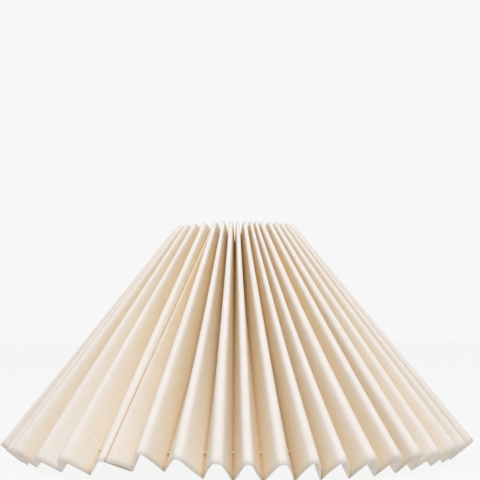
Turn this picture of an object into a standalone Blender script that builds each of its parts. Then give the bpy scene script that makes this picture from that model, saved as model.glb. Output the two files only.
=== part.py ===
"""Pleated cotton lamp shade on a wire frame, as a Blender 4.5 script.

Units are metres and +Z is up.  The origin is the centre of the hem, on the surface that the shade
would stand on.  Angles round the shade are in degrees, 0 at the front (-Y), growing to the right (+X).

The cover is two accordion-pleated strips.  Each strip has straight, square-cut edges, so a pleat's
outer fold (ridge) ends higher than its inner fold (valley) at the top edge and at the hem alike.
A point of the cover is given by three numbers: its angle, s, which runs down the slope from the top
edge to the hem, and n, which runs square to the slope, 0 at the ridges and negative inwards.
"""

from math import atan2, cos, degrees, exp, hypot, pi, radians, sin, sqrt

import bmesh
import bpy
from mathutils import Vector

# ---------------------------------------------------------------- driving dimensions
HEM_RADIUS = 0.200  # to the ridges at the hem
TOP_RADIUS = 0.050  # to the ridges at the top edge
STRIP_HEIGHT = 0.238  # cut height of the pleated fabric, along the folds
PANEL = 0.026  # from a ridge fold to the next valley fold
FABRIC = 0.0008  # cotton bonded to its stiffening film
RIDGE_FLAT = 0.0028  # width across a rounded ridge fold
VALLEY_FLAT = 0.0012
NOMINAL_PITCH = 7.5  # degrees that an even pleat takes up

# Widths of the pleats in degrees, valley to valley, going round from each seam.
# The pleats slide on their cords, so they are uneven. Each half takes up 180 degrees.
RIGHT_PLEATS = (8.2, 9.6, 6.8, 6.8, 7.2, 6.2, 7.2, 7.2, 6.8, 6.2, 9.4, 8.2, 8.8, 6.4) + 10 * (7.5,)
LEFT_PLEATS = 19 * (125.2 / 19,) + (11.0, 8.4, 13.2, 10.6, 11.6)
RIGHT_START = -25.7  # angle of the seam valley where the right half begins
LEFT_START = RIGHT_START + 180

# (angle, spread, most) of the places where the hem is drawn up, and where the pleats lean at the top
HEM_RISES = ((-20, 12, 0.0090), (-58, 26, 0.0035), (64, 24, 0.0030))
LEANS = ((-19, 10, 2.0), (29, 12, -3.6))

LAP = 0.0018  # between the two layers of a seam, centre to centre
LAP_STARTS = (0.30, 0.12)  # where the upper layer begins, as a share of the panel, at the top and hem
LAP_END = 0.0010  # how far the under layer stops short of the valley

GAP = 0.0003  # clearance between pieces that touch
CORD_RADIUS = 0.0006
TOP_CORD = 0.012  # s of each cord and ring
TOP_RING = 0.021
HEM_CORD = STRIP_HEIGHT - 0.024
HEM_RING = STRIP_HEIGHT - 0.033
CORD_DEPTH = 0.0030  # from the valley fold, outwards into the pleat
CORD_HOLE = 0.0015  # half the side of a punched hole
CORD_STEPS = 72
KNOT_RADIUS = 0.0019
THREAD_RADIUS = 0.0004

RING_WIRE = 0.0015  # radius of the wire of both rings
RIB_WIRE = 0.00125
RIBS = 6
TIES = 6
WIRE_SIDES = 8
RING_STEPS = 48

FITTER_HEIGHT = 0.095  # underside of the fitter above the hem plane
FITTER_THICK = 0.0015
FITTER_RADIUS = 0.031
FITTER_HOLE = 0.0205  # takes a 40 mm lampholder skirt
ARMS = 3
ARM_WIRE = 0.00125
ARM_BEND = 0.007
ARM_FOOT = 0.0262  # radius at which an arm's foot ends on the fitter

REDUCER_LIP = 0.0245
REDUCER_SPIGOT = 0.0201
REDUCER_HOLE = 0.0145  # takes a 28 mm lampholder skirt
REDUCER_LIP_THICK = 0.0014
REDUCER_DEPTH = 0.0040  # spigot below the lip
TURN_STEPS = 48

# ---------------------------------------------------------------- the slope
SLOPE_SIN = (HEM_RADIUS - TOP_RADIUS) / STRIP_HEIGHT
SLOPE_COS = sqrt(1 - SLOPE_SIN**2)


def pleat_depth(s, pitch):
    """Ridge to valley, square to the slope, of a pleat that takes up pitch degrees."""
    flats = (RIDGE_FLAT + VALLEY_FLAT) / 2
    ridge_radius = TOP_RADIUS + s * SLOPE_SIN
    middle_radius = ridge_radius - PANEL / 2 * SLOPE_COS
    across = radians(pitch / 2) * middle_radius - flats
    return sqrt((PANEL - flats) ** 2 - across**2)


def valley_depth(s):
    """Valleys lie at one depth all round, held there by the cords and rings."""
    return pleat_depth(s, NOMINAL_PITCH)


def ridge_rise(s, pitch):
    """A narrow pleat's ridge stands out a little further, and a wide one's less."""
    return pleat_depth(s, pitch) - valley_depth(s)


RIDGE_HEM_Z = (valley_depth(STRIP_HEIGHT) + FABRIC / 2) * SLOPE_SIN
RIDGE_TOP_Z = RIDGE_HEM_Z + STRIP_HEIGHT * SLOPE_COS


def section(s, n):
    """Radius and height of a point of the slope."""
    return (
        TOP_RADIUS + s * SLOPE_SIN + n * SLOPE_COS,
        RIDGE_TOP_Z - s * SLOPE_COS + n * SLOPE_SIN,
    )


def at_angle(angle, radius, height):
    return Vector((radius * sin(radians(angle)), -radius * cos(radians(angle)), height))


def sideways(distance, s, n):
    """Degrees that a distance along the circumference takes up at that place."""
    return degrees(distance / section(s, n)[0])


# ---------------------------------------------------------------- scene and materials
def clear_scene():
    for obj in list(bpy.data.objects):
        bpy.data.objects.remove(obj)


def material(name, colour, roughness, metallic=0.0):
    made = bpy.data.materials.new(name)
    made.use_nodes = True
    shader = made.node_tree.nodes["Principled BSDF"]
    shader.inputs["Base Color"].default_value = (*colour, 1)
    shader.inputs["Roughness"].default_value = roughness
    shader.inputs["Metallic"].default_value = metallic
    return made


def add_object(name, data, finish):
    obj = bpy.data.objects.new(name, data)
    bpy.context.scene.collection.objects.link(obj)
    data.materials.append(finish)
    return obj


# ---------------------------------------------------------------- cover
def pleats(start, widths):
    """(middle angle, width) of each pleat, going round from start."""
    found, edge = [], start
    for width in widths:
        found.append((edge + width / 2, width))
        edge += width
    return found


def ridge_column(s, pleat, side):
    middle, width = pleat
    n = ridge_rise(s, width)
    return middle + side * sideways(RIDGE_FLAT / 2, s, n), s, n


def valley_column(s, pleat, side):
    middle, width = pleat
    n = -valley_depth(s)
    return middle + side * (width / 2 - sideways(VALLEY_FLAT / 2, s, n)), s, n


def under_layer(s, pleat):
    """Where the panel below a seam's upper layer would meet the valley."""
    middle, width = pleat
    n = -valley_depth(s)
    return middle + width / 2 - sideways(VALLEY_FLAT / 2 + LAP, s, n), s, n


def between(a, b, share):
    return tuple(x + (y - x) * share for x, y in zip(a, b))


def row(s, start, widths, before):
    """The fabric's points at one s, from edge to edge. before is the pleat it starts on top of."""
    share = LAP_STARTS[0] + (LAP_STARTS[1] - LAP_STARTS[0]) * s / STRIP_HEIGHT
    angle, _, n = between(ridge_column(s, before, 1), under_layer(s, before), share)
    points = [(angle + sideways(LAP, s, n), s, n)]
    seam_angle, _, seam_n = under_layer(s, before)
    points.append((seam_angle + sideways(LAP, s, seam_n), s, seam_n))
    ring = pleats(start, widths)
    for pleat in ring[:-1]:
        points += [valley_column(s, pleat, -1), ridge_column(s, pleat, -1)]
        points += [ridge_column(s, pleat, 1), valley_column(s, pleat, 1)]
    last = ring[-1]
    ridge, low = ridge_column(s, last, 1), under_layer(s, last)
    short = LAP_END / (ridge[2] - low[2])
    points += [valley_column(s, last, -1), ridge_column(s, last, -1), ridge]
    points += [between(ridge, low, share), between(ridge, low, 1 - short)]
    return points


def swell(places, angle):
    """Sum of the soft bumps (angle, spread, most) at an angle."""
    total = 0
    for centre, spread, most in places:
        away = (angle - centre + 180) % 360 - 180
        total += most * exp(-((away / spread) ** 2))
    return total


def drawn_up(angle):
    """How much of the strip's height is left where the hem is drawn up."""
    return 1 - swell(HEM_RISES, angle) / STRIP_HEIGHT


def leaned(angle, s):
    """The angle at s of a fold that meets the hem at the given angle."""
    return angle + swell(LEANS, angle) * (1 - s / STRIP_HEIGHT)


def place(point):
    angle, s, n = point
    return at_angle(leaned(angle, s), *section(s * drawn_up(angle), n))


def patch_point(corners, down, across):
    """A point of the bilinear patch whose corners are ((top left, top right), (low left, low right))."""
    top = corners[0][0].lerp(corners[0][1], across)
    low = corners[1][0].lerp(corners[1][1], across)
    return top.lerp(low, down)


def punched_panel(mesh, corners, middle, half):
    """A panel with a square hole, at and of shares of its height and width, for a cord."""
    vertices = [corners[0][0], corners[0][1], corners[1][1], corners[1][0]]
    places = [[corner.co for corner in pair] for pair in corners]
    hole = [
        mesh.verts.new(patch_point(places, middle[0] + down * half[0], middle[1] + across * half[1]))
        for down, across in ((-1, -1), (-1, 1), (1, 1), (1, -1))
    ]
    for i in range(4):
        j = (i + 1) % 4
        mesh.faces.new((vertices[i], vertices[j], hole[j], hole[i]))


def cover_half(name, start, widths, before, finish):
    """One strip of fabric as a thickened sheet, punched for both cords."""
    levels = [STRIP_HEIGHT * share for share in (0, 0.22, 0.46, 0.72, 1)]
    holes = {0: TOP_CORD, len(levels) - 2: HEM_CORD}
    rows = [row(s, start, widths, before) for s in levels]
    mesh = bmesh.new()
    grid = [[mesh.verts.new(place(point)) for point in points] for points in rows]
    for i, (upper, lower) in enumerate(zip(grid, grid[1:])):
        for j in range(len(upper) - 1):
            middle = (rows[i][j][0] + rows[i][j + 1][0]) / 2
            hole_s = holes.get(i, 0) / drawn_up(middle)
            down = (hole_s - levels[i]) / (levels[i + 1] - levels[i])
            ends = [between(rows[i][k], rows[i + 1][k], down)[2] for k in (j, j + 1)]
            hole_n = CORD_DEPTH - valley_depth(holes.get(i, 0))
            if i in holes and min(ends) + CORD_HOLE < hole_n < max(ends) - CORD_HOLE:
                corners = ((upper[j], upper[j + 1]), (lower[j], lower[j + 1]))
                across = (hole_n - ends[0]) / (ends[1] - ends[0])
                half_down = CORD_HOLE / (levels[i + 1] - levels[i])
                half_across = CORD_HOLE / abs(ends[1] - ends[0])
                punched_panel(mesh, corners, (down, across), (half_down, half_across))
            else:
                mesh.faces.new((upper[j], upper[j + 1], lower[j + 1], lower[j]))
    mesh.normal_update()
    mesh.faces.ensure_lookup_table()
    if mesh.faces[0].normal.dot(mesh.faces[0].calc_center_median()) < 0:
        bmesh.ops.reverse_faces(mesh, faces=mesh.faces)
    data = bpy.data.meshes.new(name)
    mesh.to_mesh(data)
    mesh.free()
    obj = add_object(name, data, finish)
    solidify = obj.modifiers.new("fabric thickness", "SOLIDIFY")
    solidify.thickness = FABRIC
    solidify.offset = 0
    solidify.use_even_offset = True
    return obj


# ---------------------------------------------------------------- wires and cords
def wire(name, points, radius, finish, cyclic=False, resolution=2):
    """A round wire or thread along the points."""
    curve = bpy.data.curves.new(name, "CURVE")
    curve.dimensions = "3D"
    curve.bevel_depth = radius
    curve.bevel_resolution = resolution
    curve.use_fill_caps = not cyclic
    spline = curve.splines.new("POLY")
    spline.points.add(len(points) - 1)
    for slot, point in zip(spline.points, points):
        slot.co = (*point, 1)
    spline.use_cyclic_u = cyclic
    return add_object(name, curve, finish)


def ring_section(s):
    """Centre of a ring's wire, just inside the valley folds."""
    return section(s, -valley_depth(s) - FABRIC / 2 - GAP - RING_WIRE)


def frame_ring(name, s, finish):
    radius, height = ring_section(s)
    bpy.ops.mesh.primitive_torus_add(
        major_radius=radius,
        minor_radius=RING_WIRE,
        major_segments=RING_STEPS,
        minor_segments=WIRE_SIDES,
        location=(0, 0, height),
    )
    obj = bpy.context.object
    obj.name = obj.data.name = name
    obj.data.materials.append(finish)
    obj.data.shade_smooth()
    return obj


def rib(name, angle, finish):
    """A straight wire from ring to ring, its ends butted against them."""
    top = at_angle(angle, *ring_section(TOP_RING))
    low = at_angle(angle, *ring_section(HEM_RING))
    along = (low - top).normalized() * (RING_WIRE + GAP)
    return wire(name, [top + along, low - along], RIB_WIRE, finish)


def cord_section(s):
    return section(s, CORD_DEPTH - valley_depth(s))


def gathering_cord(name, s, knot_angle, finish):
    """A cord threaded through every panel, tied into a ring. Its ends stop at the knot."""
    radius, height = cord_section(s)
    ends = degrees((KNOT_RADIUS + GAP) / radius)
    sweep = 360 - 2 * ends
    points = [
        at_angle(knot_angle + ends + sweep * i / CORD_STEPS, radius, height)
        for i in range(CORD_STEPS + 1)
    ]
    return wire(name, points, CORD_RADIUS, finish, resolution=1)


def knot(name, s, angle, finish):
    centre = at_angle(angle, *cord_section(s))
    bpy.ops.mesh.primitive_ico_sphere_add(subdivisions=2, radius=KNOT_RADIUS, location=centre)
    obj = bpy.context.object
    obj.name = obj.data.name = name
    obj.data.materials.append(finish)
    obj.data.shade_smooth()
    return obj


def tie(name, ring_s, cord_s, angle, finish):
    """A loop of thread round the ring and the cord, inside one pleat."""
    ring_r, ring_z = ring_section(ring_s)
    cord_r, cord_z = cord_section(cord_s)
    lean = atan2(cord_z - ring_z, cord_r - ring_r)
    round_ring = RING_WIRE + GAP + 1.35 * THREAD_RADIUS
    round_cord = CORD_RADIUS + GAP + 1.35 * THREAD_RADIUS
    points = []
    for i in range(5):
        turn = lean + pi / 2 + pi * i / 4
        points.append(at_angle(angle, ring_r + round_ring * cos(turn), ring_z + round_ring * sin(turn)))
    for i in range(4):
        turn = lean - pi / 2 + pi * i / 3
        points.append(at_angle(angle, cord_r + round_cord * cos(turn), cord_z + round_cord * sin(turn)))
    return wire(name, points, THREAD_RADIUS, finish, cyclic=True, resolution=1)


# ---------------------------------------------------------------- fitter
def turned(name, profile, finish):
    """A closed (radius, height) outline turned about the Z axis."""
    mesh = bmesh.new()
    rounds = [
        [mesh.verts.new(at_angle(360 * i / TURN_STEPS, r, z)) for r, z in profile]
        for i in range(TURN_STEPS)
    ]
    count = len(profile)
    for i in range(TURN_STEPS):
        here, beyond = rounds[i], rounds[(i + 1) % TURN_STEPS]
        for j in range(count):
            k = (j + 1) % count
            mesh.faces.new((here[j], beyond[j], beyond[k], here[k]))
    bmesh.ops.recalc_face_normals(mesh, faces=mesh.faces)
    data = bpy.data.meshes.new(name)
    mesh.to_mesh(data)
    mesh.free()
    data.shade_smooth()
    data.set_sharp_from_angle(angle=radians(35))
    return add_object(name, data, finish)


def fitter_ring(finish):
    low, high = FITTER_HEIGHT, FITTER_HEIGHT + FITTER_THICK
    outline = [(FITTER_HOLE, low), (FITTER_RADIUS, low), (FITTER_RADIUS, high), (FITTER_HOLE, high)]
    return turned("fitter_ring", outline, finish)


def reducer_ring(finish):
    """Plastic ring that drops into the fitter and narrows its hole."""
    seat = FITTER_HEIGHT + FITTER_THICK + GAP
    top = seat + REDUCER_LIP_THICK
    low = seat - REDUCER_DEPTH
    outline = [
        (REDUCER_HOLE, low),
        (REDUCER_SPIGOT, low),
        (REDUCER_SPIGOT, seat),
        (REDUCER_LIP, seat),
        (REDUCER_LIP, top),
        (REDUCER_HOLE, top),
    ]
    return turned("reducer_ring", outline, finish)


def rounded_corner(before, corner, after, radius, steps=4):
    """Points of a bend of that radius, in a (radius, height) plane."""
    into = (Vector(before) - Vector(corner)).normalized()
    out = (Vector(after) - Vector(corner)).normalized()
    half = into.angle(out) / 2
    reach = radius / abs(sin(half) / cos(half))
    centre = Vector(corner) + (into + out).normalized() * hypot(radius, reach)
    start = Vector(corner) + into * reach - centre
    end = Vector(corner) + out * reach - centre
    return [centre + radius * start.slerp(end, i / steps) for i in range(steps + 1)]


def fitter_arm(name, angle, finish):
    """A bent wire from the underside of the top ring down to the top face of the fitter."""
    ring = Vector(ring_section(TOP_RING))
    foot_z = FITTER_HEIGHT + FITTER_THICK + GAP + ARM_WIRE
    foot = Vector((ARM_FOOT, foot_z))
    corner = Vector((FITTER_RADIUS + 0.002, foot_z))
    clear = (corner - ring).normalized() * (RING_WIRE + GAP)
    outline = [ring + clear, *rounded_corner(ring, corner, foot, ARM_BEND), foot]
    return wire(name, [at_angle(angle, *point) for point in outline], ARM_WIRE, finish)


# ---------------------------------------------------------------- assembly
def main():
    clear_scene()
    cotton = material("ivory cotton", (0.86, 0.80, 0.70), 0.85)
    enamel = material("white enamelled wire", (0.85, 0.84, 0.81), 0.4)
    thread = material("cotton thread", (0.88, 0.84, 0.76), 0.9)
    plastic = material("white plastic", (0.90, 0.90, 0.88), 0.35)

    right = pleats(RIGHT_START, RIGHT_PLEATS)
    left = pleats(LEFT_START, LEFT_PLEATS)
    ahead_of_right = (left[-1][0] - 360, left[-1][1])
    cover_half("cover_right", RIGHT_START, RIGHT_PLEATS, ahead_of_right, cotton)
    cover_half("cover_left", LEFT_START, LEFT_PLEATS, right[-1], cotton)

    ridges = [middle for middle, _ in right + left]
    knot_angle = left[-4][0]
    frame_ring("top_ring", TOP_RING, enamel)
    frame_ring("hem_ring", HEM_RING, enamel)
    for i in range(RIBS):
        rib(f"rib_{i + 1}", 360 * i / RIBS + 30, enamel)
    for name, cord_s, ring_s in (("top", TOP_CORD, TOP_RING), ("hem", HEM_CORD, HEM_RING)):
        gathering_cord(f"{name}_cord", cord_s, leaned(knot_angle, cord_s), thread)
        knot(f"{name}_knot", cord_s, leaned(knot_angle, cord_s), thread)
        for i in range(TIES):
            wanted = 360 * i / TIES + 18
            angle = min(ridges, key=lambda ridge: abs((ridge - wanted + 180) % 360 - 180))
            tie(f"{name}_tie_{i + 1}", ring_s, cord_s, leaned(angle, cord_s), thread)

    fitter_ring(enamel)
    for i in range(ARMS):
        fitter_arm(f"fitter_arm_{i + 1}", 360 * i / ARMS + 60, enamel)
    reducer_ring(plastic)


main()
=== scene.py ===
"""Looks of the pleated lamp shade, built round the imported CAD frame."""

from math import atan2, cos, degrees, exp, pi, radians, sin, sqrt
from random import Random

import bmesh
import bpy
from mathutils import Matrix, Vector


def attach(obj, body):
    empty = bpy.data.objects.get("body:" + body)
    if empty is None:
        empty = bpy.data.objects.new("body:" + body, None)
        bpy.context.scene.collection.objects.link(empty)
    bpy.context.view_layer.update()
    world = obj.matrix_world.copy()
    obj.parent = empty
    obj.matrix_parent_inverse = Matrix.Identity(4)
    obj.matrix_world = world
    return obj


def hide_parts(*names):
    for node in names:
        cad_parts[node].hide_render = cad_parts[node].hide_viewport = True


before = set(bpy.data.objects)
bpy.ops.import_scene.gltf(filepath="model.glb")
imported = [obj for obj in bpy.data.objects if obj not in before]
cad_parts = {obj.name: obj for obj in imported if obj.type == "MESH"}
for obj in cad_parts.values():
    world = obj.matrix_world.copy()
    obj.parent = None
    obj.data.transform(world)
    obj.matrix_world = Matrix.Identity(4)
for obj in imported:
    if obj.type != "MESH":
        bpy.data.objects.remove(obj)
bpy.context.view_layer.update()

# ---------------------------------------------------------------- the cover's cut, in metres
HEM_RADIUS = 0.200
TOP_RADIUS = 0.050
STRIP_HEIGHT = 0.238
PANEL = 0.026
FABRIC = 0.0008
CAD_RIDGE_FLAT = 0.0028
CAD_VALLEY_FLAT = 0.0012
NOMINAL_PITCH = 7.5
RIGHT_PLEATS = (8.2, 9.6, 6.8, 6.8, 7.2, 6.2, 7.2, 7.2, 6.8, 6.2, 9.4, 8.2, 8.8, 6.4) + 10 * (7.5,)
LEFT_PLEATS = 19 * (125.2 / 19,) + (11.0, 8.4, 13.2, 10.6, 11.6)
RIGHT_START = -25.7
LEFT_START = RIGHT_START + 180
HEM_RISES = ((-20, 12, 0.0090), (-58, 26, 0.0035), (64, 24, 0.0030))  # (angle, spread, most)
LEANS = ((-19, 10, 2.0), (29, 12, -3.6))  # the same, in degrees, at the top edge
LAP_STARTS = (0.30, 0.12)  # where a seam's upper edge lies on a panel, at the top edge and hem
LAP = 0.0018
LAP_END = 0.0010  # how far from the valley the lower layer ends
# The seam's dark line is painted shadow, for the crevice under the upper layer's edge.
SEAM_GAP = 0.0003  # how far outside the upper edge the seam's dark line starts
SEAM_FADE = 0.0003
TOP_CORD = 0.012
TOP_RING = 0.021
HEM_CORD = STRIP_HEIGHT - 0.024
HEM_RING = STRIP_HEIGHT - 0.033
CORD_DEPTH = 0.0030
CORD_RADIUS = 0.0006
RING_WIRE = 0.0015
RIB_WIRE = 0.00125
GAP = 0.0003
FITTER_HEIGHT = 0.095
FITTER_THICK = 0.0015
FITTER_RADIUS = 0.031
FITTER_HOLE = 0.0205
ARM_FOOT = 0.0262
ARM_BEND = 0.007
ARM_WIRE = 0.00125
REDUCER_LIP = 0.0245
REDUCER_SPIGOT = 0.0201
REDUCER_HOLE = 0.0145
REDUCER_LIP_THICK = 0.0014
REDUCER_DEPTH = 0.0040
RIBS = 6
FIRST_RIB = 30
ARMS = 3
FIRST_ARM = 60
TIES = 6
FIRST_TIE = 18

SLOPE_SIN = (HEM_RADIUS - TOP_RADIUS) / STRIP_HEIGHT
SLOPE_COS = sqrt(1 - SLOPE_SIN**2)

RIDGE_BEND = (0.0013, 0.0042)  # radius of the outer folds at the top edge and at the hem
VALLEY_BEND = (0.0005, 0.0006)
PANEL_BOW = (0.3, 1.0)  # share of a panel's own bow that shows at the top edge and at the hem
ROWS = 44
ARC_STEPS = 5
PANEL_STEPS = 7
POINTS_CLOSER = 1.3  # the power that draws a panel's points together near the ridge
LAP_STEPS = 8

# The upper layer of a seam lies LAP above the lower one. It is nearer along its edge, comes down
# to the valley over the last part of the panel, and bulges at the hem.
LAP_EDGE_LIFT = 0.8
LAP_EDGE_STEPS = 3
LAP_COMES_DOWN = 0.15
LAP_VALLEY_LIFT = 0.35
LAP_BULGE = 0.0026
LAP_BULGE_POWER = 6

# How shut in the cloth is, which sets its painted shade and painted warm light: 0 on the outer
# folds, MOST_SHUT deep in a fold, and the most in a seam, whose dark line is painted shadow.
SHUT_POWER = 1.3
DEEPEST = 5.0  # depth of a fold over its width, to that power, that counts as fully shut in
MOST_SHUT = 0.80
SEAM_SHADOW = 1.0
FLANK_SHADE = 0.5  # share of a fold's shade that lies evenly over its flat panels
SHADE_STARTS, SHADE_FULL = 0.6, 2.4  # where it begins and is full, in lengths of the rounded fold
TOP_SHADE = 0.35  # share of the shade left at the top edge, where light falls in
TOP_LIT = 0.032  # how far down the slope the shade is full again


# ---------------------------------------------------------------- the slope
def pleat_depth(s, pitch):
    flats = (CAD_RIDGE_FLAT + CAD_VALLEY_FLAT) / 2
    across = radians(pitch / 2) * middle_radius(s) - flats
    return sqrt((PANEL - flats) ** 2 - across**2)


def middle_radius(s):
    return TOP_RADIUS + s * SLOPE_SIN - PANEL / 2 * SLOPE_COS


def valley_depth(s):
    return pleat_depth(s, NOMINAL_PITCH)


RIDGE_HEM_Z = (valley_depth(STRIP_HEIGHT) + FABRIC / 2) * SLOPE_SIN
RIDGE_TOP_Z = RIDGE_HEM_Z + STRIP_HEIGHT * SLOPE_COS


def section(s, n):
    """Radius and height of the point s down the slope and n outwards from the ridges' line."""
    return (
        TOP_RADIUS + s * SLOPE_SIN + n * SLOPE_COS,
        RIDGE_TOP_Z - s * SLOPE_COS + n * SLOPE_SIN,
    )


def at_angle(angle, radius, height):
    return Vector((radius * sin(radians(angle)), -radius * cos(radians(angle)), height))


def swell(places, angle):
    """Sum of the soft bumps (angle, spread, most) at an angle."""
    total = 0
    for centre, spread, most in places:
        away = (angle - centre + 180) % 360 - 180
        total += most * exp(-((away / spread) ** 2))
    return total


def leaned(angle, s):
    return angle + swell(LEANS, angle) * (1 - s / STRIP_HEIGHT)


def place(angle, s, n):
    """A point of the cloth, with the hem's rises and the pleats' lean."""
    drawn_up = 1 - swell(HEM_RISES, angle) / STRIP_HEIGHT
    return at_angle(leaned(angle, s), *section(s * drawn_up, n))


def sideways(distance, s, n):
    return degrees(distance / section(s, n)[0])


# ---------------------------------------------------------------- node materials
def new_material(name):
    made = bpy.data.materials.new(name)
    made.use_nodes = True
    return made, made.node_tree, made.node_tree.nodes["Principled BSDF"]


def node(tree, kind, values=None, **settings):
    """Adds a node. values sets its inputs by name or number, and links one that is a socket."""
    made = tree.nodes.new(kind)
    for key, value in settings.items():
        setattr(made, key, value)
    for key, value in (values or {}).items():
        if isinstance(value, bpy.types.NodeSocket):
            tree.links.new(value, made.inputs[key])
        else:
            made.inputs[key].default_value = value
    return made


def maths(tree, operation, *values):
    """One Math node's output."""
    return node(tree, "ShaderNodeMath", dict(enumerate(values)), operation=operation).outputs[0]


def vector_maths(tree, operation, values):
    return node(tree, "ShaderNodeVectorMath", values, operation=operation).outputs[0]


def noise(tree, where, scale, detail=2.0, roughness=0.5):
    values = {"Vector": where, "Scale": scale, "Detail": detail, "Roughness": roughness}
    return node(tree, "ShaderNodeTexNoise", values).outputs


def remap(tree, value, low, high, new_low=0.0, new_high=1.0, **settings):
    """The value, mapped from low..high to new_low..new_high and kept within them."""
    ends = {"From Min": low, "From Max": high, "To Min": new_low, "To Max": new_high}
    return node(tree, "ShaderNodeMapRange", {"Value": value, **ends}, **settings).outputs[0]


def scattered(tree, where, scale, rim, core, above):
    """Round specks, one in each cell whose own chance is above a value."""
    cells = node(tree, "ShaderNodeTexVoronoi", {"Vector": where, "Scale": scale})
    chance = node(tree, "ShaderNodeSeparateColor", {0: cells.outputs["Color"]}).outputs[0]
    speck = remap(tree, cells.outputs["Distance"], rim, core)
    return maths(tree, "MULTIPLY", speck, maths(tree, "GREATER_THAN", chance, above))


def blend_colour(tree, share, first, second):
    made = node(tree, "ShaderNodeMix", data_type="RGBA")
    for number, value in ((0, share), (6, first), (7, second)):
        if isinstance(value, bpy.types.NodeSocket):
            tree.links.new(value, made.inputs[number])
        else:
            made.inputs[number].default_value = value
    return made.outputs[2]


def bumped(tree, height, strength, distance):
    values = {"Strength": strength, "Distance": distance, "Height": height}
    return node(tree, "ShaderNodeBump", values).outputs[0]


def link_all(tree, target, **sockets):
    """Links each socket to the target's input of that name, with _ for a space."""
    for name, socket in sockets.items():
        tree.links.new(socket, target.inputs[name.replace("_", " ")])


def new_group(name, inputs, outputs):
    tree = bpy.data.node_groups.new(name, "ShaderNodeTree")
    for socket_name, kind, default in inputs:
        made = tree.interface.new_socket(socket_name, in_out="INPUT", socket_type=kind)
        if default is not None:
            made.default_value = default
    for socket_name, kind in outputs:
        tree.interface.new_socket(socket_name, in_out="OUTPUT", socket_type=kind)
    return tree, tree.nodes.new("NodeGroupInput"), tree.nodes.new("NodeGroupOutput")


def weave_group():
    """Plain-woven canvas: round yarns over and under, with slubs and a few seed flecks.

    Place is in metres on the cloth, X along the warp-faced width and Y along the length.
    """
    tree, given, out = new_group(
        "canvas weave",
        [("Place", "NodeSocketVector", None), ("Pitch", "NodeSocketFloat", 0.0008)],
        [(output, "NodeSocketFloat") for output in ("Height", "Slub", "Fleck")],
    )
    where, pitch = given.outputs["Place"], given.outputs["Pitch"]
    wander = noise(tree, where, 90.0)["Color"]
    drift = vector_maths(tree, "SUBTRACT", {0: wander, 1: (0.5, 0.5, 0.5)})
    drift = vector_maths(tree, "SCALE", {0: drift, "Scale": 0.0011})
    moved = vector_maths(tree, "ADD", {0: where, 1: drift})
    split = node(tree, "ShaderNodeSeparateXYZ", {0: moved})
    yarns = [maths(tree, "DIVIDE", split.outputs[axis], pitch) for axis in "XY"]
    crossing = maths(tree, "ADD", *(maths(tree, "FLOOR", yarn) for yarn in yarns))
    parity = maths(tree, "FLOORED_MODULO", crossing, 2.0)
    waves = (maths(tree, "SINE", maths(tree, "MULTIPLY", yarn, pi)) for yarn in yarns)
    bulges = [maths(tree, "ABSOLUTE", wave) for wave in waves]
    over = []
    for across, along in (bulges, reversed(bulges)):
        dip = maths(tree, "MULTIPLY_ADD", along, 0.6, 0.4)
        over.append(maths(tree, "MULTIPLY", maths(tree, "SQRT", across), dip))
    top_yarn = node(tree, "ShaderNodeMix", {0: parity, 2: over[0], 3: over[1]}, data_type="FLOAT")
    slubs = []
    for stretch in ((90.0, 760.0, 1.0), (760.0, 90.0, 1.0)):
        stretched = node(tree, "ShaderNodeMapping", {"Vector": where, "Scale": stretch}).outputs[0]
        slubs.append(noise(tree, stretched, 1.0, 2.0, 0.6)["Fac"])
    slub = maths(tree, "MULTIPLY", maths(tree, "ADD", *slubs), 0.5)
    link_all(
        tree,
        out,
        Height=maths(tree, "MULTIPLY_ADD", slub, 1.6, top_yarn.outputs[0]),
        Slub=slub,
        Fleck=scattered(tree, where, 75.0, 0.05, 0.028, 0.82),
    )
    return tree


def grain_group():
    """Fine grain, broad mottling and a few specks, on a place in metres."""
    tree, given, out = new_group(
        "surface grain",
        [("Place", "NodeSocketVector", None), ("Grains", "NodeSocketFloat", 1500.0)],
        [(output, "NodeSocketFloat") for output in ("Height", "Mottle", "Specks")],
    )
    where = given.outputs["Place"]
    link_all(
        tree,
        out,
        Height=noise(tree, where, given.outputs["Grains"], 3.0)["Fac"],
        Mottle=noise(tree, where, 60.0, 4.0, 0.6)["Fac"],
        Specks=scattered(tree, where, 240.0, 0.16, 0.10, 0.93),
    )
    return tree


def hard_material(name, grain, grains, depth, colours, speck_colour, roughness):
    """A coated or moulded finish: grain in the bump, mottling in colour and gloss."""
    made, tree, shader = new_material(name)
    surface = node(tree, "ShaderNodeGroup", node_tree=grain)
    link_all(tree, surface, Place=node(tree, "ShaderNodeTexCoord").outputs["Object"])
    surface.inputs["Grains"].default_value = grains
    mottle, specks = surface.outputs["Mottle"], surface.outputs["Specks"]
    colour = blend_colour(tree, mottle, *colours)
    link_all(
        tree,
        shader,
        Base_Color=blend_colour(tree, maths(tree, "MULTIPLY", specks, 0.6), colour, speck_colour),
        Roughness=remap(tree, mottle, 0.0, 1.0, *roughness),
        Normal=bumped(tree, surface.outputs["Height"], 0.4, depth),
    )
    return made, shader


def cloth_place(tree):
    """The cloth's own UV map, in metres."""
    return node(tree, "ShaderNodeUVMap", uv_map="cloth").outputs[0]


# Painted shade and painted warm light: the deeper the cloth lies in a fold, the darker and warmer
# its colour. This stands in for the shade in the fold and for the light bounced and let through
# there. The last step is the painted shadow in a seam's crevice.
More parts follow.
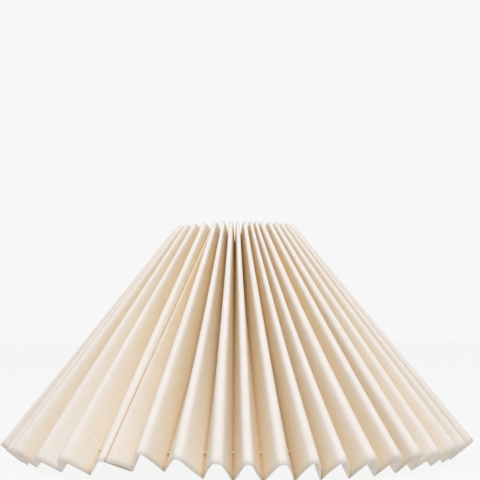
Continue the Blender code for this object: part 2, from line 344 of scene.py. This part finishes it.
FOLD_SHADE_COLOURS = (  # (how shut in the cloth is, colour)
    (0.0, (0.915, 0.862, 0.818, 1)),
    (0.03, (0.865, 0.795, 0.742, 1)),
    (0.08, (0.85, 0.755, 0.64, 1)),
    (0.17, (0.83, 0.685, 0.475, 1)),
    (0.35, (0.89, 0.675, 0.375, 1)),
    (MOST_SHUT, (1.0, 0.68, 0.21, 1)),
    (SEAM_SHADOW, (0.70, 0.50, 0.29, 1)),
)
# Painted shade along the bottom of each fold, where its two panels meet.
CREASE_HALF = 0.0052  # how far the shade at the bottom of a fold reaches up its panels
CREASE_SHARE = 0.7
CREASE_SHADE_COLOUR = (0.66, 0.46, 0.24, 1)
SLUB_COLOUR = (0.99, 0.96, 0.92, 1)
PATCH_COLOUR = (0.80, 0.72, 0.64, 1)
FLECK_COLOUR = (0.30, 0.20, 0.11, 1)


def painted_fold_shading(tree, spot):
    """Painted shade and painted warm light by how shut in the cloth is, and painted shade at the
    bottom of each fold.
    """
    inward = node(tree, "ShaderNodeValToRGB")
    painted_fold_shade = node(tree, "ShaderNodeAttribute", attribute_name="painted_fold_shade").outputs["Fac"]
    link_all(tree, inward, Fac=painted_fold_shade)
    steps = inward.color_ramp.elements
    while len(steps) < len(FOLD_SHADE_COLOURS):
        steps.new(1.0)
    for step, (shut, shade) in zip(steps, FOLD_SHADE_COLOURS):
        step.position, step.color = shut, shade
    # Painted shade, strongest at each valley fold and gone a little way up its panels.
    across = node(tree, "ShaderNodeSeparateXYZ", {0: spot}).outputs["X"]
    from_valley = maths(tree, "PINGPONG", across, PANEL)
    smooth = {"interpolation_type": "SMOOTHSTEP"}
    painted_crease_shade = remap(tree, from_valley, CREASE_HALF, 0.0, 0.0, CREASE_SHARE, **smooth)
    return blend_colour(tree, painted_crease_shade, inward.outputs["Color"], CREASE_SHADE_COLOUR)


def canvas_material(weave):
    """Ivory cotton canvas, the outer face of the cover."""
    made, tree, shader = new_material("ivory_canvas")
    spot = cloth_place(tree)
    cloth = node(tree, "ShaderNodeGroup", node_tree=weave)
    link_all(tree, cloth, Place=spot)
    cloth.inputs["Pitch"].default_value = 0.00075
    slubs = remap(tree, cloth.outputs["Slub"], 0.38, 0.62)
    patches = remap(tree, noise(tree, spot, 38.0, 5.0, 0.7)["Fac"], 0.35, 0.7)
    # The painted shade and painted warm light of the folds, under the weave's own colours.
    colour = painted_fold_shading(tree, spot)
    for mask, share, shade in (
        (slubs, 0.28, SLUB_COLOUR),
        (patches, 0.3, PATCH_COLOUR),
        (cloth.outputs["Fleck"], 0.55, FLECK_COLOUR),
    ):
        colour = blend_colour(tree, maths(tree, "MULTIPLY", mask, share), colour, shade)
    relief = bumped(tree, cloth.outputs["Height"], 0.5, 0.00012)
    link_all(tree, shader, Base_Color=colour, Normal=relief)
    shader.inputs["Roughness"].default_value = 0.92
    shader.inputs["Sheen Weight"].default_value = 0.12
    shader.inputs["Sheen Tint"].default_value = (1.0, 0.92, 0.82, 1)
    shader.inputs["Sheen Roughness"].default_value = 0.5
    shader.inputs["Specular IOR Level"].default_value = 0.2
    return made


def lining_material():
    """White stiffening film, the inner face of the cover."""
    made, tree, shader = new_material("lining_film")
    grain = noise(tree, cloth_place(tree), 700.0)["Fac"]
    colour = blend_colour(tree, grain, (0.90, 0.82, 0.74, 1), (0.95, 0.885, 0.81, 1))
    link_all(tree, shader, Base_Color=colour, Normal=bumped(tree, grain, 0.15, 0.0001))
    shader.inputs["Roughness"].default_value = 0.6
    return made


def cut_edge_material():
    """The cut edge, where the pale film and yarn ends show."""
    made, tree, shader = new_material("cut_edge")
    ends = noise(tree, cloth_place(tree), 1400.0)["Fac"]
    colour = blend_colour(tree, ends, (0.91, 0.86, 0.79, 1), (0.98, 0.965, 0.94, 1))
    link_all(tree, shader, Base_Color=colour)
    shader.inputs["Roughness"].default_value = 0.8
    return made


# ---------------------------------------------------------------- cover
def pleats(start, widths):
    found, edge = [], start
    for width in widths:
        found.append((edge + width / 2, width))
        edge += width
    return found


def fold(s, pitch, ridge_bend, valley_bend):
    """Half the opening angle of a pleat at s, and its depth, found by halving a range."""
    half = radians(pitch / 2) * middle_radius(s)
    bends = ridge_bend + valley_bend
    low, high = 0.002, 1.4
    for _ in range(40):
        alpha = (low + high) / 2
        straight = (half - bends * cos(alpha)) / sin(alpha)
        if straight + bends * (pi / 2 - alpha) > PANEL:
            low = alpha
        else:
            high = alpha
    depth = straight * cos(alpha) + bends * (1 - sin(alpha))
    return alpha, depth


class Pleat:
    """One pleat: its place on the ring and its own small irregularities."""

    def __init__(self, middle, width, chance):
        self.middle, self.width = middle, width
        self.bend = chance.uniform(0.85, 1.2)
        self.sway = [chance.uniform(-0.16, 0.16) for _ in range(3)]
        self.bow = [chance.uniform(-0.0006, 0.0009) for _ in range(2)]
        self.phase = chance.uniform(0, 2 * pi)

    def ridge_angle(self, s):
        t = s / STRIP_HEIGHT
        a, b, c = self.sway
        sway = a * sin(pi * t) + b * sin(2 * pi * t + self.phase) * 0.6 + c * t
        return self.middle + sway * self.width / NOMINAL_PITCH


def taper(pair, s):
    return pair[0] + (pair[1] - pair[0]) * s / STRIP_HEIGHT


def panel_points(s, pleat, side):
    """(angle, n, cloth distance from the ridge, how shut in) along a panel, ridge to valley. How
    shut in sets the cloth's painted shade.
    """
    ridge_bend = taper(RIDGE_BEND, s) * pleat.bend
    valley_bend = taper(VALLEY_BEND, s)
    alpha, depth = fold(s, pleat.width, ridge_bend, valley_bend)
    floor_n = -valley_depth(s)
    top_n = floor_n + depth
    ridge_angle = pleat.ridge_angle(s)
    edge_angle = pleat.middle + side * pleat.width / 2
    points = []
    for i in range(ARC_STEPS + 1):
        turn = (pi / 2 - alpha) * i / ARC_STEPS
        n = top_n - ridge_bend * (1 - cos(turn))
        aside = side * sideways(ridge_bend * sin(turn), s, n)
        points.append((ridge_angle + aside, n, ridge_bend * turn))
    arc = []
    for i in range(ARC_STEPS + 1):
        turn = (pi / 2 - alpha) * (1 - i / ARC_STEPS)
        n = floor_n + valley_bend * (1 - cos(turn))
        aside = side * sideways(valley_bend * sin(turn), s, n)
        arc.append((edge_angle - aside, n, PANEL - valley_bend * turn))
    start, end = points[-1], arc[0]
    bow = pleat.bow[side > 0] * taper(PANEL_BOW, s)
    for i in range(1, PANEL_STEPS):
        t = (i / PANEL_STEPS) ** POINTS_CLOSER
        angle, n, run = (a + (b - a) * t for a, b in zip(start, end))
        out = bow * sin(pi * t)
        angle += side * sideways(out * cos(alpha), s, n)
        n += out * sin(alpha)
        points.append((angle, n, run))
    # How shut in the cloth is here, which sets its painted shade and painted warm light.
    width = radians(pleat.width) * section(s, 0)[0]
    closed = (depth / width) ** SHUT_POWER / DEEPEST
    closed *= TOP_SHADE + (1 - TOP_SHADE) * min(1.0, s / TOP_LIT)
    bent = ridge_bend * (pi / 2 - alpha)
    shaded = []
    for angle, n, run in points + arc:
        rise = (run / bent - SHADE_STARTS) / (SHADE_FULL - SHADE_STARTS)
        rise = min(1.0, max(0.0, rise))
        share = FLANK_SHADE * rise * rise * (3 - 2 * rise) + (1 - FLANK_SHADE) * run / PANEL
        shaded.append((angle, n, run, min(MOST_SHUT, closed * share)))
    return shaded


def at_run(points, run):
    """The point of a panel at a cloth distance from its ridge."""
    after = next((k for k, point in enumerate(points) if point[2] > run), len(points) - 1)
    low, high = points[after - 1], points[after]
    part = (run - low[2]) / (high[2] - low[2])
    return [x + (y - x) * part for x, y in zip(low, high)]


def lapping_panel(s, before):
    """The start of a strip, which lies on the last panel of the strip before."""
    under = panel_points(s, before, 1)
    edge = PANEL * taper(LAP_STARTS, s)
    points = []
    for i in range(LAP_STEPS):
        angle, n, run, shut = at_run(under, edge + (PANEL - edge) * i / LAP_STEPS)
        down = min(1.0, (PANEL - run) / (LAP_COMES_DOWN * PANEL) + LAP_VALLEY_LIFT)
        edge_lift = LAP_EDGE_LIFT + (1 - LAP_EDGE_LIFT) * min(1.0, i / LAP_EDGE_STEPS)
        bulge = sin(pi * i / LAP_STEPS) * (s / STRIP_HEIGHT) ** LAP_BULGE_POWER
        lift = LAP * down * edge_lift + LAP_BULGE * bulge
        points.append((angle + sideways(lift, s, n), n, run - PANEL, shut))
    return points


def lapped_panel(s, pleat):
    """The last panel of a strip, with the seam's dark line painted on as shadow from just outside
    the next strip's edge onwards.
    """
    whole = panel_points(s, pleat, 1)
    edge = PANEL * taper(LAP_STARTS, s) - SEAM_GAP
    end = PANEL - LAP_END
    points = [at_run(whole, edge * i / LAP_STEPS) for i in range(LAP_STEPS + 1)]
    begin = edge + SEAM_FADE
    for i in range(LAP_STEPS + 1):
        angle, n, run, _ = at_run(whole, begin + (end - begin) * i / LAP_STEPS)
        points.append((angle, n, run, SEAM_SHADOW))
    return points


def strip_row(s, ring, before):
    """One row of a strip: (place, cloth x, how shut in). It starts on the pleat before. How shut
    in sets the cloth's painted shade.
    """
    points = lapping_panel(s, before)
    for index, pleat in enumerate(ring):
        ridge = (2 * index + 1) * PANEL
        left = panel_points(s, pleat, -1)[::-1]
        last = index == len(ring) - 1
        panel = lapped_panel(s, pleat) if last else panel_points(s, pleat, 1)[:-1]
        points += [(angle, n, ridge - run, shut) for angle, n, run, shut in left[:-1]]
        points += [(angle, n, ridge + run, shut) for angle, n, run, shut in panel]
    return [(place(angle, s, n), run, shut) for angle, n, run, shut in points]


def pleat_ring(start, widths, seed):
    chance = Random(seed)
    return [Pleat(middle, width, chance) for middle, width in pleats(start, widths)]


def cover_half(name, ring, before, finishes):
    levels = [STRIP_HEIGHT * i / ROWS for i in range(ROWS + 1)]
    mesh = bmesh.new()
    cloth = mesh.loops.layers.uv.new("cloth")
    # Each point keeps how shut in it is, which sets the cloth's painted shade.
    painted_fold_shade = mesh.verts.layers.float.new("painted_fold_shade")
    grid = []
    for s in levels:
        row = []
        for spot, run, shut in strip_row(s, ring, before):
            vertex = mesh.verts.new(spot)
            vertex[painted_fold_shade] = shut
            row.append((vertex, (run, s)))
        grid.append(row)
    for upper, lower in zip(grid, grid[1:]):
        for j in range(len(upper) - 1):
            corners = (upper[j], lower[j], lower[j + 1], upper[j + 1])
            face = mesh.faces.new([vertex for vertex, _ in corners])
            face.smooth = True
            for loop, (_, spot) in zip(face.loops, corners):
                loop[cloth].uv = spot
    data = bpy.data.meshes.new(name)
    mesh.to_mesh(data)
    mesh.free()
    piece = bpy.data.objects.new(name, data)
    bpy.context.scene.collection.objects.link(piece)
    for finish in finishes:
        data.materials.append(finish)
    thicken = piece.modifiers.new("fabric thickness", "SOLIDIFY")
    thicken.thickness = FABRIC
    thicken.offset = 0
    thicken.material_offset = 1
    thicken.material_offset_rim = 2
    return piece


weave = weave_group()
cloth_finishes = [canvas_material(weave), lining_material(), cut_edge_material()]
right_ring = pleat_ring(RIGHT_START, RIGHT_PLEATS, seed=11)
left_ring = pleat_ring(LEFT_START, LEFT_PLEATS, seed=12)
for name, ring, before, replaced in (
    ("right_cover_cloth", right_ring, left_ring[-1], "cover_right"),
    ("left_cover_cloth", left_ring, right_ring[-1], "cover_left"),
):
    piece = cover_half(name, ring, before, cloth_finishes)
    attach(piece, "shade")
    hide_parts(replaced)

# ---------------------------------------------------------------- modelling by hand
def start():
    if bpy.context.mode != "OBJECT":
        bpy.ops.object.mode_set(mode="OBJECT")
    bpy.ops.object.select_all(action="DESELECT")


def pick(kind, wanted):
    """In edit mode, selects the vertices, edges or faces that are wanted, and nothing else."""
    bpy.ops.mesh.select_mode(type=kind)
    bpy.ops.mesh.select_all(action="DESELECT")
    mesh = bmesh.from_edit_mesh(bpy.context.object.data)
    for element in {"VERT": mesh.verts, "EDGE": mesh.edges, "FACE": mesh.faces}[kind]:
        if wanted(element):
            element.select_set(True)
    mesh.select_flush_mode()
    bmesh.update_edit_mesh(bpy.context.object.data)


def push(shift):
    """Extrudes what is selected, and moves the new end."""
    bpy.ops.mesh.extrude_region_move(TRANSFORM_OT_translate={"value": shift})


def widen(factor, height):
    """Scales what is selected about the Z axis."""
    bpy.ops.transform.resize(value=(factor, factor, 1), center_override=(0, 0, height))


def soften(offset, sharpest=1.0):
    """Rounds every edge that is sharper than that angle."""
    pick("EDGE", lambda edge: len(edge.link_faces) == 2 and edge.calc_face_angle() > sharpest)
    bpy.ops.mesh.bevel(offset=offset, segments=3, affect="EDGES")


def settle(name):
    """Ends the modelling: the piece's place goes into its mesh."""
    bpy.ops.mesh.select_all(action="SELECT")
    bpy.ops.mesh.normals_make_consistent(inside=False)
    bpy.ops.object.mode_set(mode="OBJECT")
    bpy.ops.object.transform_apply(location=True, rotation=True, scale=True)
    bpy.ops.object.shade_smooth_by_angle(angle=radians(50))
    piece = bpy.context.object
    piece.name = piece.data.name = name
    return piece


def join_frame(piece, finish, slot, *nodes, body="shade"):
    piece.data.materials.clear()
    piece.data.materials.append(finish)
    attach(piece, body)
    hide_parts(*nodes)


def copy_to(piece, name, placing):
    """A copy with its own mesh, moved in its mesh."""
    data = piece.data.copy()
    data.transform(placing)
    data.name = name
    made = bpy.data.objects.new(name, data)
    bpy.context.scene.collection.objects.link(made)
    return made


grain = grain_group()
enamel, enamel_shader = hard_material(
    "white_enamel",
    grain,
    grains=1400.0,
    depth=0.00006,
    colours=((0.79, 0.78, 0.75, 1), (0.87, 0.865, 0.845, 1)),
    speck_colour=(0.36, 0.32, 0.27, 1),
    roughness=(0.24, 0.46),
)
enamel_shader.inputs["Coat Weight"].default_value = 0.25
enamel_shader.inputs["Coat Roughness"].default_value = 0.15
plastic, _ = hard_material(
    "moulded_white",
    grain,
    grains=5200.0,
    depth=0.00002,
    colours=((0.86, 0.86, 0.84, 1), (0.91, 0.91, 0.895, 1)),
    speck_colour=(0.70, 0.68, 0.64, 1),
    roughness=(0.34, 0.52),
)
thread, thread_shader = hard_material(
    "cotton_thread",
    grain,
    grains=3800.0,
    depth=0.00008,
    colours=((0.84, 0.72, 0.54, 1), (0.91, 0.82, 0.67, 1)),
    speck_colour=(0.70, 0.58, 0.44, 1),
    roughness=(0.86, 0.98),
)
thread_shader.inputs["Sheen Weight"].default_value = 0.4


# ---------------------------------------------------------------- wire frame
WIRE_SIDES = 14
RING_SIDES = 144
WELD_HALF = 0.0011
WELD_SWELL = 0.0004
WELD_ANGLE = 45
RIB_INSET = 0.0010  # from the ring's wire to the start of the rib's flare
RIB_FLARE = 0.0007  # length of each step of the flare


def ring_section(s):
    """Centre of a ring's wire, just inside the valley folds."""
    return section(s, -valley_depth(s) - FABRIC / 2 - GAP - RING_WIRE)


def cord_section(s):
    return section(s, CORD_DEPTH - valley_depth(s))


def wire_ring(name, s, node_name):
    """A hoop of wire, closed with a butt weld."""
    start()
    radius, height = ring_section(s)
    bpy.ops.mesh.primitive_torus_add(
        major_radius=radius,
        minor_radius=RING_WIRE,
        major_segments=RING_SIDES,
        minor_segments=WIRE_SIDES,
        location=(0, 0, height),
    )
    bpy.ops.object.mode_set(mode="EDIT")
    weld = at_angle(WELD_ANGLE, radius, 0)
    along = at_angle(WELD_ANGLE + 90, 1, 0)
    for shift in (-2 * WELD_HALF, -WELD_HALF, 0, WELD_HALF, 2 * WELD_HALF):
        bpy.ops.mesh.select_all(action="SELECT")
        bpy.ops.mesh.bisect(plane_co=weld + along * shift + Vector((0, 0, height)), plane_no=along)
    for reach, share in ((1.1, 0.55), (0.3, 0.45)):
        half = WELD_HALF * reach
        pick("VERT", lambda v: abs((v.co - weld).dot(along)) < half and v.co.dot(weld) > 0)
        bpy.ops.transform.shrink_fatten(value=WELD_SWELL * share)
    join_frame(settle(name), enamel, "enamel", node_name)


def straight_rib():
    """A rib along Z, its ends flared where they are welded to the rings."""
    start()
    top, low = (Vector((r, 0, z)) for r, z in (ring_section(TOP_RING), ring_section(HEM_RING)))
    length = (low - top).length
    half = length / 2 - (RING_WIRE + RIB_INSET)
    bpy.ops.mesh.primitive_cylinder_add(
        vertices=WIRE_SIDES, radius=RIB_WIRE, depth=2 * half, end_fill_type="NGON"
    )
    bpy.ops.object.mode_set(mode="EDIT")
    for side in (1, -1):
        pick("FACE", lambda face: face.normal.z * side > 0.9)
        for wider in (1.12, 1.22, 1.12):
            push((0, 0, side * RIB_FLARE))
            widen(wider, side * half)
    rib = settle("rib")
    turned = (low - top).to_track_quat("Z", "Y").to_matrix().to_4x4()
    rib.data.transform(Matrix.Translation((top + low) / 2) @ turned)
    return rib


def turned_to(angle):
    """Turns a piece made in the XZ plane, at +X, to an angle round the shade."""
    return Matrix.Rotation(radians(angle - 90), 4, "Z")


def bent_arm():
    """A fitter arm: a straight fall from the top ring, a bend and a foot along the fitter."""
    start()
    ring_r, ring_z = ring_section(TOP_RING)
    foot_z = FITTER_HEIGHT + FITTER_THICK + ARM_WIRE
    ring = Vector((ring_r, 0, ring_z))
    corner = Vector((FITTER_RADIUS + 0.002, 0, foot_z))
    fall = (corner - ring).normalized()
    inward = Vector((-1, 0, 0))
    bend = fall.angle(inward)
    reach = ARM_BEND * sin(bend / 2) / cos(bend / 2)
    begin = ring + fall * RING_WIRE * 0.6
    bend_start = corner - fall * reach
    centre = Vector((corner.x - reach, 0, foot_z + ARM_BEND))
    lean = atan2(fall.x, fall.z)
    bpy.ops.mesh.primitive_circle_add(
        vertices=WIRE_SIDES,
        radius=ARM_WIRE,
        fill_type="NGON",
        location=begin,
        rotation=(0, lean, 0),
    )
    bpy.ops.object.transform_apply(location=True, rotation=True, scale=True)
    bpy.ops.object.mode_set(mode="EDIT")
    bpy.ops.mesh.select_all(action="SELECT")
    push(bend_start - begin)
    bpy.ops.mesh.spin(steps=8, angle=bend, center=centre, axis=(0, -1, 0))
    push(inward * (corner.x - reach - ARM_FOOT))
    bpy.ops.mesh.remove_doubles(threshold=0.00001)
    soften(0.0004, 1.2)
    return settle("arm")


def weld_blob():
    """A lump of weld metal, a little uneven, 2 mm across."""
    start()
    bpy.ops.mesh.primitive_uv_sphere_add(segments=14, ring_count=9, radius=0.001)
    bpy.ops.object.mode_set(mode="EDIT")
    pick("FACE", lambda face: face.normal.z > 0.75)
    bpy.ops.transform.resize(value=(0.8, 0.8, 1), center_override=(0, 0, 0.001))
    pick("FACE", lambda face: face.normal.z < -0.3)
    bpy.ops.transform.resize(value=(1.25, 1.15, 0.7), center_override=(0, 0, 0))
    return settle("weld")


for name, s in (("top_ring", TOP_RING), ("hem_ring", HEM_RING)):
    wire_ring(f"{name}_wire", s, name)

rib = straight_rib()
for i in range(RIBS):
    made = copy_to(rib, f"rib_{i + 1}_wire", turned_to(360 * i / RIBS + FIRST_RIB))
    join_frame(made, enamel, "enamel", f"rib_{i + 1}")
bpy.data.objects.remove(rib)

arm, blob = bent_arm(), weld_blob()
foot_blobs = []
for i in range(ARMS):
    angle = 360 * i / ARMS + FIRST_ARM
    made = copy_to(arm, f"fitter_arm_{i + 1}_wire", turned_to(angle))
    join_frame(made, enamel, "enamel", f"fitter_arm_{i + 1}")
    for side in (-1, 1):
        for radius in (ARM_FOOT + 0.0010, FITTER_RADIUS - 0.0014):
            spot = (radius, side * ARM_WIRE * 0.8, FITTER_HEIGHT + FITTER_THICK + 0.0003)
            placing = turned_to(angle) @ Matrix.Translation(spot)
            foot_blobs.append(copy_to(blob, f"weld_{i}_{side}_{radius:.4f}", placing))
bpy.data.objects.remove(arm)
bpy.data.objects.remove(blob)


# ---------------------------------------------------------------- fitter and reducer
TURN_SIDES = 96


def pierce(*insets):
    """Insets each flat end by its own amount, and joins the two into a hole."""
    for side, inset in zip((1, -1), insets):
        pick("FACE", lambda face: len(face.verts) == TURN_SIDES and face.normal.z * side > 0.9)
        bpy.ops.mesh.inset(thickness=inset)
    pick("FACE", lambda face: len(face.verts) == TURN_SIDES)
    bpy.ops.mesh.bridge_edge_loops()


def cylinder(radius, low, high):
    start()
    bpy.ops.mesh.primitive_cylinder_add(
        vertices=TURN_SIDES, radius=radius, depth=high - low, location=(0, 0, (low + high) / 2)
    )
    bpy.ops.object.mode_set(mode="EDIT")


cylinder(FITTER_RADIUS, FITTER_HEIGHT, FITTER_HEIGHT + FITTER_THICK)
pierce(FITTER_RADIUS - FITTER_HOLE, FITTER_RADIUS - FITTER_HOLE)
soften(0.00045)
fitter = settle("fitter_washer")
joined = [fitter, *foot_blobs]
with bpy.context.temp_override(
    active_object=fitter, selected_objects=joined, selected_editable_objects=joined
):
    bpy.ops.object.join()
join_frame(fitter, enamel, "enamel", "fitter_ring")

seat = FITTER_HEIGHT + FITTER_THICK + GAP
cylinder(REDUCER_LIP, seat, seat + REDUCER_LIP_THICK)
pick("FACE", lambda face: face.normal.z < -0.9)
bpy.ops.mesh.inset(thickness=REDUCER_LIP - REDUCER_SPIGOT)
push((0, 0, -REDUCER_DEPTH))
pierce(REDUCER_LIP - REDUCER_HOLE, REDUCER_SPIGOT - REDUCER_HOLE)
soften(0.00035)
join_frame(settle("reducer_moulding"), plastic, "plastic", "reducer_ring", body="reducer")


# ---------------------------------------------------------------- cords, knots and ties
STRANDS = 3
STRAND_RADIUS = 0.00033
STRAND_TWIST = 0.0044  # length of one turn of the strands
STRAND_STEPS = 9
STRAND_SIDES = 5
KNOT_PLEAT = -4  # both knots lie in this pleat of the left half
KNOT_SCALE = 0.00052
KNOT_STEPS = 36
TAIL = 0.013
TAIL_STEPS = 12
TIE_TURNS = 3
TIE_THREAD = 0.00026
TIE_STEPS = 16
TIE_TAIL = 0.006
TIE_KNOT_SCALE = 0.0002


def tube(mesh, path, radius, sides):
    """Adds a round tube with closed ends along a path."""
    rings, side = [], None
    for i, spot in enumerate(path):
        along = (path[min(i + 1, len(path) - 1)] - path[max(i - 1, 0)]).normalized()
        side = along.orthogonal() if side is None else side - along * side.dot(along)
        side.normalize()
        other = along.cross(side)
        turns = (2 * pi * k / sides for k in range(sides))
        around = [radius * (cos(turn) * side + sin(turn) * other) for turn in turns]
        rings.append([mesh.verts.new(spot + off) for off in around])
    for here, beyond in zip(rings, rings[1:]):
        for k in range(sides):
            after = (k + 1) % sides
            mesh.faces.new((here[k], here[after], beyond[after], beyond[k])).smooth = True
    mesh.faces.new(rings[0][::-1])
    mesh.faces.new(rings[-1])


def finish_tubes(mesh, name, *nodes):
    data = bpy.data.meshes.new(name)
    mesh.to_mesh(data)
    mesh.free()
    piece = bpy.data.objects.new(name, data)
    bpy.context.scene.collection.objects.link(piece)
    join_frame(piece, thread, "thread", *nodes)


def twisted_cord(name, s, knot_angle, node_name):
    """Three strands laid together, threaded round through every panel from the knot to it."""
    radius, height = cord_section(s)
    turns = round(2 * pi * radius / STRAND_TWIST)
    steps = turns * STRAND_STEPS
    off = (CORD_RADIUS - STRAND_RADIUS) * 1.05
    mesh = bmesh.new()
    for strand in range(STRANDS):
        path = []
        for i in range(steps + 1):
            turn = 2 * pi * (turns * i / steps + strand / STRANDS)
            angle = knot_angle + 360 * i / steps
            path.append(at_angle(angle, radius + off * cos(turn), height + off * sin(turn)))
        tube(mesh, path, STRAND_RADIUS, STRAND_SIDES)
    finish_tubes(mesh, name, node_name)


def knot_with_tails(mesh, centre, inward, scale, radius, tail, chance):
    """An overhand knot, its two ends hanging inwards and down."""
    across = inward.cross(Vector((0, 0, 1))).normalized()
    up = across.cross(inward)
    path = []
    for i in range(KNOT_STEPS + 1):
        t = 2 * pi * i / KNOT_STEPS
        x, y, z = sin(t) + 2 * sin(2 * t), cos(t) - 2 * cos(2 * t), -sin(3 * t)
        path.append(centre + scale * (x * across + y * up + 1.3 * z * inward))
    tube(mesh, path, radius, sides=8)
    for side in (-1, 1):
        spread = chance.uniform(0.15, 0.35) * side
        reach = chance.uniform(0.85, 1.15) * tail
        path = []
        for i in range(TAIL_STEPS + 1):
            t = i / TAIL_STEPS
            out = inward * 0.42 * sin(t * pi / 2) + across * spread * t
            path.append(centre + reach * (out - Vector((0, 0, 0.86)) * t**1.6))
        tube(mesh, path, radius * 0.95, sides=7)


def inwards(angle):
    return at_angle(angle + 180, 1, 0)


def wound_tie(name, ring_s, cord_s, angle, chance):
    """Thread wound round the ring and the cord together, and knotted."""
    ring_r, ring_z = ring_section(ring_s)
    cord_r, cord_z = cord_section(cord_s)
    lean = atan2(cord_z - ring_z, cord_r - ring_r)
    steps = TIE_TURNS * TIE_STEPS
    path = []
    for i in range(steps + 1):
        turn = (2 * pi * i / TIE_STEPS) % (2 * pi)
        about = lean + pi / 2 + turn
        if turn <= pi:
            r, z, wound = ring_r, ring_z, RING_WIRE + TIE_THREAD
        else:
            r, z, wound = cord_r, cord_z, CORD_RADIUS + TIE_THREAD
        r, z = r + wound * cos(about), z + wound * sin(about)
        aside = (i / steps - 0.5) * (TIE_TURNS * 2.1 * TIE_THREAD)
        path.append(at_angle(angle + degrees(aside / r), r, z))
    mesh = bmesh.new()
    tube(mesh, path, TIE_THREAD, sides=6)
    centre = at_angle(angle, ring_r - RING_WIRE - TIE_THREAD, ring_z)
    knot_with_tails(mesh, centre, inwards(angle), TIE_KNOT_SCALE, TIE_THREAD, TIE_TAIL, chance)
    finish_tubes(mesh, f"{name}_winding", name)


chance = Random(7)
ridges = [pleat.middle for pleat in right_ring + left_ring]
knot_angle = left_ring[KNOT_PLEAT].middle
for name, cord_s, ring_s in (("top", TOP_CORD, TOP_RING), ("hem", HEM_CORD, HEM_RING)):
    at_knot = leaned(knot_angle, cord_s)
    twisted_cord(f"{name}_cord_strands", cord_s, at_knot, f"{name}_cord")
    mesh = bmesh.new()
    centre = at_angle(at_knot, *cord_section(cord_s))
    knot_with_tails(mesh, centre, inwards(at_knot), KNOT_SCALE, CORD_RADIUS, TAIL, chance)
    finish_tubes(mesh, f"{name}_knot_tied", f"{name}_knot")
    for i in range(TIES):
        wanted = 360 * i / TIES + FIRST_TIE
        angle = min(ridges, key=lambda ridge: abs((ridge - wanted + 180) % 360 - 180))
        wound_tie(f"{name}_tie_{i + 1}", ring_s, cord_s, leaned(angle, cord_s), chance)

# ---------------------------------------------------------------- floor, light and camera
AMBIENT = 0.52  # light from all round
FLOOR_GLOW = 0.70  # light from below
FLOOR_SEEN = 0.888
BACKDROP_SEEN = 0.93
KEY_SPOT = (0.1, -1.1, 2.0)
KEY_AIM = (0, 0, 0.1)
KEY_SIZE = 1.5
KEY_POWER = 28
CAMERA_SPOT = (0, -1.1173, 0.1068)
CAMERA_LENS = 96.97
CAMERA_TURN, CAMERA_RISE, CAMERA_ROLL = -0.2, 4.129, -0.566  # degrees


def seen_or_lighting(tree, seen, lighting):
    """One strength for what the camera sees, and another for what lights the object."""
    camera_ray = node(tree, "ShaderNodeLightPath").outputs["Is Camera Ray"]
    return maths(tree, "MULTIPLY_ADD", camera_ray, seen - lighting, lighting)


bpy.ops.mesh.primitive_plane_add(size=30, location=(0, 0, -0.0005))
floor_plane = bpy.context.object
floor_plane.name = "studio_floor"
made, tree, shader = new_material("studio_white")
shader.inputs["Base Color"].default_value = (0.05, 0.05, 0.05, 1)
shader.inputs["Emission Color"].default_value = (1, 1, 1, 1)
link_all(tree, shader, Emission_Strength=seen_or_lighting(tree, FLOOR_SEEN, FLOOR_GLOW))
shader.inputs["Roughness"].default_value = 1
shader.inputs["Specular IOR Level"].default_value = 0
floor_plane.data.materials.append(made)

world = bpy.data.worlds.new("studio")
world.use_nodes = True
tree = world.node_tree
backdrop = tree.nodes["Background"]
backdrop.inputs["Color"].default_value = (1, 1, 1, 1)
link_all(tree, backdrop, Strength=seen_or_lighting(tree, BACKDROP_SEEN, AMBIENT))
bpy.context.scene.world = world

key_data = bpy.data.lights.new("key", "AREA")
key_data.shape = "RECTANGLE"
key_data.size = key_data.size_y = KEY_SIZE
key_data.energy = KEY_POWER
key_data.color = (1.0, 0.985, 0.97)
key = bpy.data.objects.new("key", key_data)
bpy.context.scene.collection.objects.link(key)
key.location = KEY_SPOT
key.rotation_euler = (Vector(KEY_AIM) - Vector(KEY_SPOT)).to_track_quat("-Z", "Y").to_euler()

view_settings = bpy.context.scene.view_settings
view_settings.view_transform = "Standard"
view_settings.look = "None"

camera_data = bpy.data.cameras.new("camera")
camera_data.sensor_width = 36
camera_data.lens = CAMERA_LENS
camera = bpy.data.objects.new("camera", camera_data)
bpy.context.scene.collection.objects.link(camera)
turned = Matrix.Rotation(radians(CAMERA_TURN), 4, "Z")
raised = Matrix.Rotation(radians(90 + CAMERA_RISE), 4, "X")
rolled = Matrix.Rotation(radians(CAMERA_ROLL), 4, "Z")
camera.matrix_world = Matrix.Translation(CAMERA_SPOT) @ (turned @ raised @ rolled)
bpy.context.scene.camera = camera
